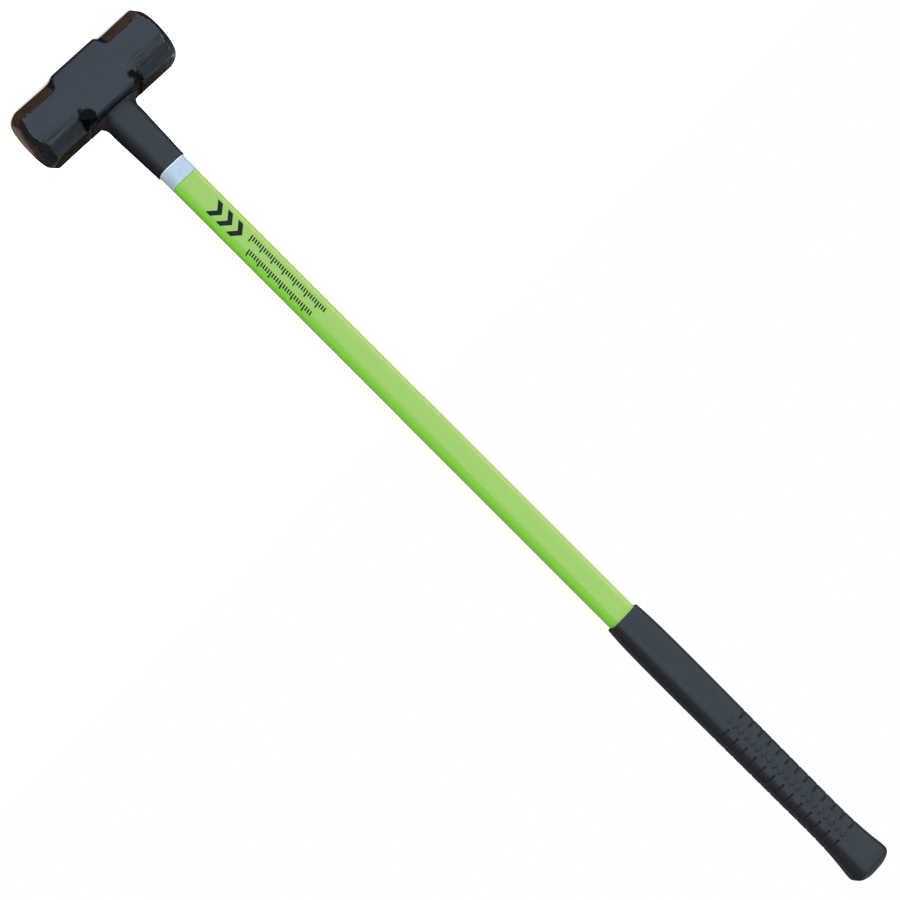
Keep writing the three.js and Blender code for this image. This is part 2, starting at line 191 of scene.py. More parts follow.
def blur(values, width, axis, wrap):
    reach = int(math.ceil(width * 3))
    weights = np.exp(-0.5 * (np.arange(-reach, reach + 1) / width) ** 2)
    pad = [(0, 0), (0, 0)]
    pad[axis] = (reach, reach)
    padded = np.pad(values, pad, mode="wrap" if wrap else "edge")
    return np.apply_along_axis(lambda line: np.convolve(line, weights / weights.sum(), "valid"),
                               axis, padded)


head = {
    "voxel": 0.7,          # mm, fineness of the forging's mesh
    "softening": 4,        # passes that round its edges
    "dentSize": 19.0,      # mm across, slow unevenness from the hammer and die
    "dentDepth": 0.16,     # mm
    "rippleFiner": 2.7,    # a second unevenness, this much smaller
    "rippleShare": 0.4,    # and this much shallower
    "enamel": "#131417",
    "enamelCloud": "#17191c",
    # painted reflection: a warm brown, and a cloud of it, for the faces away from the cheeks
    "paintedWarmReflection": "#3a2c20",
    "paintedWarmReflectionCloud": "#2a2119",
    # painted shade for the hollows and ledges beside the block
    "paintedHollowShade": "#1d1c1c",
    # worn steel on the rims, partly a painted highlight along the edges
    "rubbedSteelAndHighlight": "#84796d",
    "roughness": 0.2,
    # pattern sizes in mm, and how deep each is cut
    "cloud": 9,
    "satin": 6,
    "ragged": 6,                  # the hollows' edge
    "chip": 3.5,
    "scrape": 1.7,
    "scrapeLong": 30,             # times its width
    "scrapeDepth": 0.26,
    "dent": 11,
    "peel": 1.9,                  # really about 0.8: coarser so that it shows
    "peelDepth": 0.03,
    # Places in mm: Off is out from the eye's axis, Up from the head's top and
    # Depth from the middle of its thickness. Each of these fades from none to full.
    "bevelOff": (45, 38),         # the chamfers next to the top, where the painted brown reflection lies
    "underOff": (15, 21),         # the underside, clear of the collar
    "underShare": 0.8,
    "hollowAt": (25.8, 46),       # beside the block, low on the cheek
    "hollowHalf": (7, 10.5),      # half its width and half its height
    "hollowSide": (-5, 5),        # past the first is the left one, past the second the right
    "hollowSmaller": 0.32,        # how much the left one shrinks
    "hollowDepth": (13.5, 16.5),  # kept to the cheeks
    "ledgeUp": (44, 47),          # the ledges where the corners run out
    "rimOff": (48, 58),           # wear grows towards the striking faces
    "rimLeast": 0.3,
    "scrapeOff": (26, 34),
    "scrapeUp": (28, 36),
    "scrapeEndUp": (50.5, 48),
}


def forgeHead():
    source = nodes["hammer_head"]
    mesh = source.data.copy()
    piece = bpy.data.objects.new("forged_head", mesh)
    bpy.context.scene.collection.objects.link(piece)
    weld = piece.modifiers.new("weld", "WELD")
    weld.merge_threshold = weldReach
    remesh = piece.modifiers.new("remesh", "REMESH")
    remesh.mode = "VOXEL"
    remesh.voxel_size = head["voxel"] * mm
    remesh.use_smooth_shade = True
    soften = piece.modifiers.new("soften", "SMOOTH")
    soften.factor = 0.5
    soften.iterations = head["softening"]
    bpy.context.view_layer.update()
    solved = piece.evaluated_get(bpy.context.evaluated_depsgraph_get())
    finished = bpy.data.meshes.new_from_object(solved)
    piece.modifiers.clear()
    piece.data = finished
    scale = perMetre(head["dentSize"])
    normals = [v.normal.copy() for v in finished.vertices]
    for vertex, normal in zip(finished.vertices, normals):
        swell = noise.noise(vertex.co * scale)
        swell += head["rippleShare"] * noise.noise(vertex.co * scale * head["rippleFiner"])
        vertex.co -= normal * (0.5 + 0.5 * swell) * head["dentDepth"] * mm
    finished.polygons.foreach_set("use_smooth", [True] * len(finished.polygons))
    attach(piece, "root")
    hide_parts("hammer_head")
    return piece


def enamelOnForgedSteel():
    # Gloss black enamel dipped on forged steel. It gives a smooth wet shine that
    # wavers with the forging. The striking faces, the underside and the chamfers
    # next to the top get a warm brown painted reflection. The rims are rubbed to
    # metal, and that light steel along the edges is also a painted highlight.
    # The hollows and ledges beside the block get a dull black patch of painted shade.
    material, tree, shader, where = startMaterial(
        "gloss enamel on forged steel", head["enamel"], head["roughness"])
    place = addNode(tree, "SeparateXYZ", {0: where}, None).outputs
    surface = addNode(tree, "NewGeometry", {}, None).outputs
    facing = addNode(tree, "SeparateXYZ", {0: surface["Normal"]}, None).outputs
    endwise = addNode(tree, "Math", {0: facing[0]}, **unsigned)
    off = addNode(tree, "Math", {0: place[0]}, **unsigned)

    def reach(name):
        # the two ends of a fade, as inputs of a range in metres
        start, end = head[name]
        return {1: start * mm, 2: end * mm}

    # painted reflection: warm brown on the striking faces, the top chamfers and the underside
    slope = addNode(tree, "MapRange", {0: endwise, 1: 0.1, 2: 0.35}, **eased)
    byEye = addNode(tree, "MapRange", {0: off, **reach("bevelOff")}, **eased)
    runOut = addNode(tree, "Math", {0: slope, 1: byEye}, **times)
    topSide = addNode(tree, "MapRange", {0: facing[2], 1: -0.3, 2: -0.6}, **eased)
    topSide = addNode(tree, "Math", {0: topSide, 1: runOut}, **minus)
    ends = addNode(tree, "MapRange", {0: endwise, 1: 0.975, 2: 0.997}, **eased)
    clear = addNode(tree, "MapRange", {0: off, **reach("underOff"), 4: head["underShare"]}, **eased)
    below = addNode(tree, "MapRange", {0: facing[2], 1: 0.86, 2: 0.97}, **eased)
    below = addNode(tree, "Math", {0: below, 1: clear}, **times)
    warmReflectionMask = addNode(tree, "Math", {0: topSide, 1: ends}, **most)
    warmReflectionMask = addNode(tree, "Math", {0: warmReflectionMask, 1: below}, **most)

    # painted shade: a dull black patch in the hollows beside the block, with a ragged edge, and on
    # the ledges next to them
    ragged = addNode(tree, "TexNoise", {"Vector": where, "Scale": perMetre(head["ragged"]),
                                        "Detail": 4.0})
    ragged = addNode(tree, "MapRange", {0: ragged, 1: 0.3, 2: 0.7, 3: -0.35, 4: 0.35})
    spot = addNode(tree, "CombineXYZ", {0: off, 2: place[2]})
    across, up = head["hollowAt"]
    halfAcross, halfUp = head["hollowHalf"]
    spot = addNode(tree, "VectorMath", {0: spot, 1: (across * mm, 0, up * mm)}, **minus)
    spot = addNode(tree, "VectorMath", {0: spot, 1: (perMetre(halfAcross), 0, perMetre(halfUp))},
                   **times)
    spot = addNode(tree, "VectorMath", {0: spot}, "Value", operation="LENGTH")
    spot = addNode(tree, "Math", {0: spot, 1: ragged}, **plus)
    smaller = addNode(tree, "MapRange", {0: place[0], **reach("hollowSide"),
                                         3: head["hollowSmaller"], 4: 0.0})
    spot = addNode(tree, "Math", {0: spot, 1: smaller}, **plus)
    hollowShade = addNode(tree, "MapRange", {0: spot, 1: 1.2, 2: 0.78}, **eased)
    deep = addNode(tree, "Math", {0: place[1]}, **unsigned)
    deep = addNode(tree, "MapRange", {0: deep, **reach("hollowDepth")}, **eased)
    hollowShade = addNode(tree, "Math", {0: hollowShade, 1: deep}, **times)
    ledge = addNode(tree, "MapRange", {0: place[2], **reach("ledgeUp")}, **eased)
    ledge = addNode(tree, "Math", {0: ledge, 1: runOut}, **times)
    hollowShade = addNode(tree, "Math", {0: hollowShade, 1: ledge}, **most)

    # rims of the striking faces, and a trace of wear on every edge; the light steel there is partly
    # a painted highlight along the edges
    chips = addNode(tree, "TexNoise", {"Vector": where, "Scale": perMetre(head["chip"]),
                                       "Detail": 5.0})
    chips = addNode(tree, "MapRange", {0: chips, 1: 0.44, 2: 0.66}, **eased)
    rim = addNode(tree, "MapRange", {0: surface["Pointiness"], 1: 0.508, 2: 0.545}, **eased)
    atEnds = addNode(tree, "MapRange", {0: off, **reach("rimOff"), 3: head["rimLeast"]}, **eased)
    wearAndPaintedLight = addNode(tree, "Math", {0: rim, 1: chips}, **times)
    wearAndPaintedLight = addNode(tree, "Math", {0: wearAndPaintedLight, 1: atEnds}, **times)

    # scrape marks left along the cheek by the trimming die
    longways = addNode(tree, "Mapping", {"Vector": where, "Scale": (1 / head["scrapeLong"], 1, 1)})
    scrape = addNode(tree, "TexNoise", {"Vector": longways, "Scale": perMetre(head["scrape"]),
                                        "Detail": 3.0})
    scrape = addNode(tree, "MapRange", {0: scrape, 1: 0.35, 2: 0.7}, **eased)
    scraped = addNode(tree, "MapRange", {0: place[2], **reach("scrapeUp")}, **eased)
    fades = addNode(tree, "MapRange", {0: off, **reach("scrapeOff")}, **eased)
    scraped = addNode(tree, "Math", {0: scraped, 1: fades}, **times)
    shortOf = addNode(tree, "MapRange", {0: place[2], **reach("scrapeEndUp")}, **eased)
    scraped = addNode(tree, "Math", {0: scraped, 1: shortOf}, **times)
    scrape = addNode(tree, "Math", {0: scrape, 1: scraped}, **times)

    cloud = addNode(tree, "TexNoise", {"Vector": where, "Scale": perMetre(head["cloud"]),
                                       "Detail": 4.0})
    cloud = addNode(tree, "MapRange", {0: cloud, 1: 0.3, 2: 0.7}, **eased)
    coat = addNode(tree, "Mix", {0: cloud, 6: toLinear(head["enamel"]),
                                 7: toLinear(head["enamelCloud"])}, 2, **inColour)
    warmReflectionColour = addNode(tree, "Mix", {0: cloud, 6: toLinear(head["paintedWarmReflection"]),
                                  7: toLinear(head["paintedWarmReflectionCloud"])}, 2, **inColour)
    coat = addNode(tree, "Mix", {0: warmReflectionMask, 6: coat, 7: warmReflectionColour}, 2, **inColour)
    coat = addNode(tree, "Mix", {0: hollowShade, 6: coat,
                                 7: toLinear(head["paintedHollowShade"])}, 2, **inColour)
    coat = addNode(tree, "Mix", {0: wearAndPaintedLight, 6: coat,
                                 7: toLinear(head["rubbedSteelAndHighlight"])}, 2, **inColour)

    dull = addNode(tree, "Math", {0: scrape, 1: wearAndPaintedLight}, **most)
    dull = addNode(tree, "Math", {0: dull, 1: hollowShade}, **most)
    satin = addNode(tree, "TexNoise", {"Vector": where, "Scale": perMetre(head["satin"]),
                                       "Detail": 4.0})
    satin = addNode(tree, "MapRange", {0: satin, 1: 0.3, 2: 0.75, 3: 0.16, 4: 0.26})
    rough = addNode(tree, "Math", {0: dull, 1: satin}, **plus)
    rough = addNode(tree, "MapRange", {0: rough, 1: 0.1, 2: 1.2, 3: 0.14, 4: 0.62}, **eased)

    # orange peel over slow dents, and the scrapes on top
    peel = addNode(tree, "TexNoise", {"Vector": where, "Scale": perMetre(head["peel"]),
                                      "Detail": 3.0})
    peel = addNode(tree, "Bump", {"Height": peel, "Distance": head["peelDepth"] * mm})
    dents = addNode(tree, "TexNoise", {"Vector": where, "Scale": perMetre(head["dent"]),
                                       "Detail": 1.0})
    dents = addNode(tree, "Bump", {"Height": dents, "Distance": head["dentDepth"] * mm,
                                   "Normal": peel})
    scored = addNode(tree, "Bump", {"Height": scrape, "Distance": head["scrapeDepth"] * mm,
                                    "Normal": dents})
    feed(tree, shader, coat, rough, scored)
    tree.links.new(hollowShade, shader.inputs["Metallic"])   # painted shade: the patch is metallic and near black, so it takes almost no shine
    return material


forged = forgeHead()
forged.data.materials.clear()
forged.data.materials.append(enamelOnForgedSteel())
print("head forged:", len(forged.data.polygons), "faces")


rubber = {
    "collarColour": "#17181a",
    "gripColour": "#1b1c1e",
    "bloomColour": "#2d2f31",
    # painted reflection: warm brown for both ends of the collar's flare
    "flarePaintedReflection": "#241b14",
    "collarRoughness": 0.43,
    "gripRoughness": 0.46,
    "pore": 0.9,              # mm, mould texture, really 0.3: coarser so that it shows
    "poreDepth": 0.055,
    "bloom": 16, "bloomLong": 3,  # mm, and times its width along the handle
    "satin": 5,
    "swell": 9, "swellDepth": 0.08,
    "collarReflectionTop": 62,         # mm up, the top of the collar's flare
    "flareReflectionFade": 5,            # mm
    "flareReflectionOff": (12.5, 15.5),  # mm from the axis, the two ends of the flare
    "flareReflectionDuller": 0.3,
}


def mouldedRubber(name, colour, roughness, reflectionBelow=0.0):
    # Moulded thermoplastic rubber: a soft satin black, with the sparked texture
    # of its mould and a faint grey bloom in patches. A warm brown painted
    # reflection, made duller, lies on both ends of a flare up to the given height in mm.
    material, tree, shader, where = startMaterial(name, colour, roughness)
    upright = addNode(tree, "Mapping", {"Vector": where, "Scale": (1, 1, 1 / rubber["bloomLong"])})
    cloud = addNode(tree, "TexNoise", {"Vector": upright, "Scale": perMetre(rubber["bloom"]),
                                       "Detail": 4.0})
    cloud = addNode(tree, "MapRange", {0: cloud, 1: 0.35, 2: 0.75}, **eased)
    pore = addNode(tree, "TexNoise", {"Vector": where, "Scale": perMetre(rubber["pore"]),
                                      "Detail": 3.0})
    speck = addNode(tree, "MapRange", {0: pore, 1: 0.45, 2: 0.8, 4: 0.6}, **eased)
    bloom = addNode(tree, "Math", {0: cloud, 1: speck}, **times)
    coat = addNode(tree, "Mix", {0: bloom, 6: toLinear(colour),
                                 7: toLinear(rubber["bloomColour"])}, 2, **inColour)
    satin = addNode(tree, "TexNoise", {"Vector": where, "Scale": perMetre(rubber["satin"]),
                                       "Detail": 4.0})
    satin = addNode(tree, "MapRange", {0: satin, 1: 0.25, 2: 0.8,
                                       3: roughness - 0.06, 4: roughness + 0.08})

    place = addNode(tree, "SeparateXYZ", {0: where}, None).outputs
    off = addNode(tree, "Math", {0: place[0]}, **unsigned)
    # painted reflection: warm brown on both ends of the flare, low down, and duller there
    near, far = rubber["flareReflectionOff"]
    out = addNode(tree, "MapRange", {0: off, 1: near * mm, 2: far * mm}, **eased)
    low = addNode(tree, "MapRange", {0: place[2], 1: reflectionBelow * mm,
                                     2: (reflectionBelow - rubber["flareReflectionFade"]) * mm}, **eased)
    flareReflection = addNode(tree, "Math", {0: out, 1: low}, **times)
    coat = addNode(tree, "Mix", {0: flareReflection, 6: coat,
                                 7: toLinear(rubber["flarePaintedReflection"])}, 2, **inColour)
    flareReflection = addNode(tree, "MapRange", {0: flareReflection, 4: rubber["flareReflectionDuller"]})
    satin = addNode(tree, "Math", {0: satin, 1: flareReflection}, **plus)

    fine = addNode(tree, "Bump", {"Height": pore, "Distance": rubber["poreDepth"] * mm})
    swell = addNode(tree, "TexNoise", {"Vector": where, "Scale": perMetre(rubber["swell"]),
                                       "Detail": 1.0})
    swell = addNode(tree, "Bump", {"Height": swell, "Distance": rubber["swellDepth"] * mm,
                                   "Normal": fine})
    feed(tree, shader, coat, satin, swell)
    return material


collar = {
    "around": 176,         # columns
    "rowStep": 0.5,        # mm, as all that follows unless it says otherwise
    "rowsFrom": 0.15,      # above the foot
    "rowsTo": 0.1,         # below the lip
    "flareHeight": 16,
    "softRows": 1.3,       # rows, rounds the flare into the neck
    "softRound": 1.2,      # columns
    "seamHeight": 0.12,    # parting line on both sides
    "seamWidth": 1.2,
    "seamFades": (4, 12),  # above the foot
    "footRound": 0.35,
    "lipRound": 0.12,
    "lipCrown": 0.03,
    "lipCovers": 1.8,      # of the band
    "boreFrom": 2.6,       # below the lip
    "boreTo": 3,           # above the foot
    "pocket": 2.4,         # depth of the seal's place
    "clearance": 0.1,      # round the band and the jacket
    "sealClearance": 0.15,
}


def mouldCollar():
    low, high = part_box("overstrike_collar")
    skin = surfaceOf("overstrike_collar")
    bottom, top = low.z / mm, high.z / mm
    heights = np.arange(bottom + collar["rowsFrom"], top - collar["rowsTo"], collar["rowStep"])
    angles = np.arange(collar["around"]) / collar["around"] * 2 * math.pi
    reach = np.array([outlineOf(skin, angles, height) for height in heights])
    # the flare is an oval trumpet round the neck
    neck = reach[np.searchsorted(heights, bottom + collar["flareHeight"])]
    quarter = len(angles) // 4
    longHalf, shortHalf = reach[:, :1], reach[:, quarter:quarter + 1]
    oval = 1 / np.sqrt((np.cos(angles) / longHalf) ** 2 + (np.sin(angles) / shortHalf) ** 2)
    flared = (heights < bottom + collar["flareHeight"])[:, None]
    reach = np.where(flared, np.maximum(oval, neck), reach)
    soft = blur(reach, collar["softRows"], 0, False)
    soft = blur(soft, collar["softRound"], 1, True)
    soft[0] = np.minimum(soft[0], reach[0])
    away = np.abs(np.sin(angles)) * soft / collar["seamWidth"]
    seam = collar["seamHeight"] * np.exp(-2 * away ** 2)
    soft = soft + seam * smoothStep(*collar["seamFades"], heights - bottom)[:, None]

    # inside it follows the band, the jacket and the seal, each measured where it is plain
    overBand = outlineOf(surfaceOf("reflective_band"), angles, top + 3, collar["clearance"])
    bore = outlineOf(surfaceOf("handle_jacket"), angles, top - 6, collar["clearance"])
    overSeal = outlineOf(surfaceOf("eye_seal"), angles, bottom + 0.9, collar["sealClearance"])
    lip = soft[-1] - collar["lipRound"]
    profile = [(soft[0] - collar["footRound"], bottom)]
    profile += list(zip(soft, heights))
    profile += [
        (lip, top - collar["lipCrown"]),
        ((overBand + lip) / 2, top),
        (overBand, top - collar["lipCrown"]),
        (overBand, top - collar["lipCovers"]),
        (bore, top - collar["boreFrom"]),
        (bore, bottom + collar["boreTo"]),
        (overSeal, bottom + collar["pocket"]),
        (overSeal, bottom),
    ]
    rings = [[(r * math.cos(a) * mm, r * math.sin(a) * mm, height * mm)
              for r, a in zip(radii, angles)] for radii, height in profile]
    piece = loft("moulded_collar", rings)
    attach(piece, "root")
    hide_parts("overstrike_collar")
    return piece


collarPiece = mouldCollar()
collarPiece.data.materials.append(
    mouldedRubber("moulded rubber collar", rubber["collarColour"], rubber["collarRoughness"],
                  rubber["collarReflectionTop"]))
print("collar moulded:", len(collarPiece.data.polygons), "faces")


grip = {
    # in mm, except counts and shares
    "flatX": 8.0, "flatY": 5.8,            # as the solid
    "boreX": 5.8, "boreY": 4.1, "boreRadius": 6.75,
    "buttWall": 11.0, "gap": 0.25,         # between the butt and the end of the bore
    "steps": (48, 15, 10, 26),
    "mouthRound": ((0.75, 0), (0.3, 0.2), (0.07, 0.55)),  # how far in, how far up
    "mouthBore": (0.25, 0.4),              # the chamfer inside: how far out, how far up
    "mouthRows": (0.9, 6.0, 0.8),          # first, last and step
    "plainFrom": 6.5,
    "coarseRow": 2.0, "fineRow": 0.34,     # between rows, plain and patterned
    "aboveRow": 1.5,                       # between rows, past the pattern
    "patternMargins": (3, 4),              # fine rows past its two ends
    "softRows": 1.5,                       # rows
    "domeHeight": 8.4, "domeRows": 16,
    "grooves": 13, "groovePitch": 10.36, "grooveFromButt": 40.9,
    "grooveWidth": 2.6, "grooveDepth": 1.5, "grooveInnerX": 6.4,
    "grooveFades": (-0.25, 0.35),          # round its inner end
    "grooveAtSide": 0.25,                  # share of its depth left at the widest point
    "studs": 21, "studPitch": 6.4, "studFromButt": 42.0,
    "studWidth": 7.6, "studLength": 4.6, "studHeight": 0.6,
    "studSlope": (-0.04, 0.3),             # from its edge to its flat top, as shares
    "seamHeight": 0.14, "seamWidth": 0.35,
}


def mouldGrip():
    low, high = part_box("rubber_grip")
    bottom, top = low.z / mm, high.z / mm
    skin = surfaceOf("rubber_grip")
    centres, outwards = barOutline(grip["flatX"], grip["flatY"], grip["steps"])
    rim = top - grip["domeHeight"]

    def cornerRadius(height):
        # the middle of the back flat carries no pattern
        hit = skin.ray_cast(Vector((0, 100, height)), Vector((0, -1, 0)))[0]
        return hit.y - grip["flatY"]

    above, below = grip["patternMargins"]
    patternTop = top - grip["grooveFromButt"] + above
    patternEnd = top - max(grip["grooveFromButt"] + (grip["grooves"] - 1) * grip["groovePitch"],
                           grip["studFromButt"] + (grip["studs"] - 1) * grip["studPitch"]) - below
    first, last, step = grip["mouthRows"]
    heights = list(np.arange(bottom + first, bottom + last, step))
    heights += list(np.arange(bottom + grip["plainFrom"], patternEnd, grip["coarseRow"]))
    heights += list(np.arange(patternEnd, patternTop, grip["fineRow"]))
    heights += list(np.arange(patternTop, rim - 0.4, grip["aboveRow"]))
    heights = np.array(heights + [rim])
    radius = np.array([cornerRadius(h) for h in heights])
    radius = blur(radius[:, None], grip["softRows"], 0, False)[:, 0]

    x = centres[None, :, 0] + outwards[None, :, 0] * radius[:, None]
    y = centres[None, :, 1] + outwards[None, :, 1] * radius[:, None]
    z = heights[:, None] + 0 * x
    depth = np.zeros_like(x)
    inner, outer = (grip["grooveInnerX"] + fade for fade in grip["grooveFades"])
    sideways = smoothStep(inner, outer, np.abs(x))
    shallower = smoothStep(0.5, 0.95, np.abs(outwards[None, :, 0]))
    sideways = sideways * (1 - (1 - grip["grooveAtSide"]) * shallower)
    half = grip["grooveWidth"] / 2
    for i in range(grip["grooves"]):
        off = np.abs(z - (top - grip["grooveFromButt"] - i * grip["groovePitch"]))
        depth -= grip["grooveDepth"] * (1 - smoothStep(0, half, off)) * sideways
    onFront = outwards[None, :, 1] < -0.99
    for i in range(grip["studs"]):
        off = np.abs(z - (top - grip["studFromButt"] - i * grip["studPitch"]))
        inside = 1 - off / (grip["studLength"] / 2) - np.abs(x) / (grip["studWidth"] / 2)
        depth += grip["studHeight"] * smoothStep(*grip["studSlope"], inside) * onFront
    atSide = np.abs(outwards[None, :, 0]) > 0.99
    seam = grip["seamHeight"] * np.exp(-(y / grip["seamWidth"]) ** 2) * atSide
    depth += seam

    boreCentres, boreOutwards = barOutline(grip["boreX"], grip["boreY"], grip["steps"])
    boreEnd = top - grip["buttWall"] + grip["gap"]
    wider, higher = grip["mouthBore"]
    rings = [ringAt(boreCentres, boreOutwards, grip["boreRadius"], boreEnd),
             ringAt(boreCentres, boreOutwards, grip["boreRadius"], bottom + higher),
             ringAt(boreCentres, boreOutwards, grip["boreRadius"] + wider, bottom)]
    for inwards, up in grip["mouthRound"]:
        rings.append(ringAt(centres, outwards, radius[0] - inwards, bottom + up))
    for row, height in enumerate(heights):
        rings.append(ringAt(centres, outwards, radius[row] + depth[row], height))
    for i in range(1, grip["domeRows"]):
        rise = i / grip["domeRows"] * math.pi / 2
        shrink = math.cos(rise)
        height = rim + grip["domeHeight"] * math.sin(rise)
        rings.append(ringAt(centres, outwards, (radius[-1] + seam[-1]) * shrink, height, shrink))
    piece = loft("moulded_grip", rings, (0, 0, boreEnd * mm), (0, 0, top * mm))
    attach(piece, "root")
    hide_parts("rubber_grip")
    return piece


gripPiece = mouldGrip()
gripPiece.data.materials.append(
    mouldedRubber("moulded rubber grip", rubber["gripColour"], rubber["gripRoughness"]))
print("grip moulded:", len(gripPiece.data.polygons), "faces")


jacket = {
    "sideColour": "#6aaa2d",
    # painted light: the paler flats and the lighter -X side
    "paintedLitFlatColour": "#7f9e45",
    "paintedLitSideColour": "#98a753",
    "streakColour": "#5c9a2a",
    "roughness": 0.34,
    # mm across, times as long, mm deep
    "mottle": 7,
    "streak": 1.6, "streakLong": 60,
    "scratch": 0.7, "scratchLong": 90, "scratchDepth": 0.012,
    "flow": 5, "flowLong": 8, "flowDepth": 0.03,
}


def mouldedPolypropylene():
    # Glossy moulded polypropylene, bright green. The flats are painted slightly
    # paler than the corners and the -X side lighter, as painted light; flow lines and fine
    # scratches run lengthwise.
    material, tree, shader, where = startMaterial(
        "moulded polypropylene", jacket["sideColour"], jacket["roughness"])
    surface = addNode(tree, "NewGeometry", {}, None).outputs
    facing = addNode(tree, "SeparateXYZ", {0: surface["Normal"]}, None).outputs
    # painted light: the front and back flats are painted paler, as if lit
    flat = addNode(tree, "Math", {0: facing[1]}, **unsigned)
    flat = addNode(tree, "MapRange", {0: flat, 1: 0.8, 2: 1.0}, **eased)
    drawn = addNode(tree, "Mapping", {"Vector": where, "Scale": (1, 1, 1 / jacket["streakLong"])})
    streak = addNode(tree, "TexNoise", {"Vector": drawn, "Scale": perMetre(jacket["streak"]),
                                        "Detail": 3.0})
    mottle = addNode(tree, "TexNoise", {"Vector": where, "Scale": perMetre(jacket["mottle"]),
                                        "Detail": 4.0})
    patchy = addNode(tree, "Math", {0: streak, 1: mottle}, **plus)
    patchy = addNode(tree, "MapRange", {0: patchy, 1: 0.7, 2: 1.3, 3: 0.8, 4: 1.0}, **eased)
    wearAndPaintedLight = addNode(tree, "Math", {0: flat, 1: patchy}, **times)
    coat = addNode(tree, "Mix", {0: wearAndPaintedLight, 6: toLinear(jacket["sideColour"]),
                                 7: toLinear(jacket["paintedLitFlatColour"])}, 2, **inColour)
    # painted light: the -X side painted lighter and yellower, as if lit from that side
    paintedLitSide = addNode(tree, "MapRange", {0: facing[0], 1: -0.1, 2: -0.6}, **eased)
    clouds = addNode(tree, "MapRange", {0: mottle, 1: 0.3, 2: 0.7, 3: 0.7, 4: 1.0}, **eased)
    paintedLitSide = addNode(tree, "Math", {0: paintedLitSide, 1: clouds}, **times)
    coat = addNode(tree, "Mix", {0: paintedLitSide, 6: coat,
                                 7: toLinear(jacket["paintedLitSideColour"])}, 2, **inColour)
    shade = addNode(tree, "MapRange", {0: streak, 1: 0.3, 2: 0.7, 4: 0.16}, **eased)
    coat = addNode(tree, "Mix", {0: shade, 6: coat,
                                 7: toLinear(jacket["streakColour"])}, 2, **inColour)

    fine = addNode(tree, "Mapping", {"Vector": where, "Scale": (1, 1, 1 / jacket["scratchLong"])})
    scratch = addNode(tree, "TexNoise", {"Vector": fine, "Scale": perMetre(jacket["scratch"]),
                                         "Detail": 4.0})
    scratch = addNode(tree, "MapRange", {0: scratch, 1: 0.58, 2: 0.75}, **eased)
    satin = addNode(tree, "Math", {0: mottle, 1: scratch}, **plus)
    satin = addNode(tree, "MapRange", {0: satin, 1: 0.3, 2: 1.3, 3: 0.27, 4: 0.5}, **eased)
    flow = addNode(tree, "Mapping", {"Vector": where, "Scale": (1, 1, 1 / jacket["flowLong"])})
    flow = addNode(tree, "TexNoise", {"Vector": flow, "Scale": perMetre(jacket["flow"]),
                                      "Detail": 2.0})
    flow = addNode(tree, "Bump", {"Height": flow, "Distance": jacket["flowDepth"] * mm})
    scored = addNode(tree, "Bump", {"Height": scratch, "Distance": jacket["scratchDepth"] * mm,
                                    "Normal": flow})
    feed(tree, shader, coat, satin, scored)
    return material


band = {
    "filmColour": "#b4c6ce",
    "beadColour": "#98a9b2",
    "lapColour": "#59646c",
    # painted highlight for the strip at the collar's lip
    "paintedLipHighlight": "#e9ebf2",
    "edgeUp": (114.8, 114.4),   # mm, the strip that shows at the collar's lip
    "lapOff": (0.35, 0.1),      # mm either side of the joint
    "bead": 0.55,               # mm, really under 0.1: coarser so that it shows
    "beadDepth": 0.02,
    "cloud": 4,                 # mm
    "roughness": 0.42,
}


def glassBeadFilm():
    # Retroreflective film, fine glass beads on bright foil under a clear face:
    # a pale bluish silver with a fine sparkle, and a lap joint at the back.
    material, tree, shader, where = startMaterial(
        "glass bead reflective film", band["filmColour"], band["roughness"], metallic=0.25)
    bead = addNode(tree, "TexVoronoi", {"Vector": where, "Scale": perMetre(band["bead"])})
    glint = addNode(tree, "MapRange", {0: bead, 1: 0.1, 2: 0.6}, **eased)
    cloud = addNode(tree, "TexNoise", {"Vector": where, "Scale": perMetre(band["cloud"]),
                                       "Detail": 3.0})
    cloud = addNode(tree, "MapRange", {0: cloud, 1: 0.3, 2: 0.7, 4: 0.5}, **eased)
    mixed = addNode(tree, "Math", {0: glint, 1: cloud}, **plus)
    film = addNode(tree, "Mix", {0: mixed, 6: toLinear(band["filmColour"]),
                                 7: toLinear(band["beadColour"])}, 2, **inColour)
    place = addNode(tree, "SeparateXYZ", {0: where}, None).outputs
    # painted highlight: a white strip painted on the film at the collar's lip
    none, full = band["edgeUp"]
    lip = addNode(tree, "MapRange", {0: place[2], 1: none * mm, 2: full * mm}, **eased)
    film = addNode(tree, "Mix", {0: lip, 6: film, 7: toLinear(band["paintedLipHighlight"])}, 2, **inColour)
    off = addNode(tree, "Math", {0: place[0]}, **unsigned)
    none, full = band["lapOff"]
    narrow = addNode(tree, "MapRange", {0: off, 1: none * mm, 2: full * mm}, **eased)
    behind = addNode(tree, "MapRange", {0: place[1], 1: 0.0, 2: 0.002}, **eased)
    lap = addNode(tree, "Math", {0: narrow, 1: behind}, **times)
    film = addNode(tree, "Mix", {0: lap, 6: film, 7: toLinear(band["lapColour"])}, 2, **inColour)
    satin = addNode(tree, "MapRange", {0: glint, 3: 0.34, 4: 0.5})
    sparkle = addNode(tree, "Bump", {"Height": glint, "Distance": band["beadDepth"] * mm})
    feed(tree, shader, film, satin, sparkle)
    return material


inEye = {
    # sizes and depths in mm
    "epoxy": "#4a3a22", "epoxyLight": "#6e5630", "epoxyCloud": 5,
    "bubble": "#2e2414", "bubbleSize": 2.2, "bubbleDepth": 0.2,
    "glass": "#d8d0a4", "glassShade": "#a89d6e",
    "fibreBundle": 0.6, "fibreLong": 80, "fibreDepth": 0.05,
    "neoprene": "#2b2927", "neopreneLight": "#3b3835", "pore": 0.8, "poreDepth": 0.06,
}


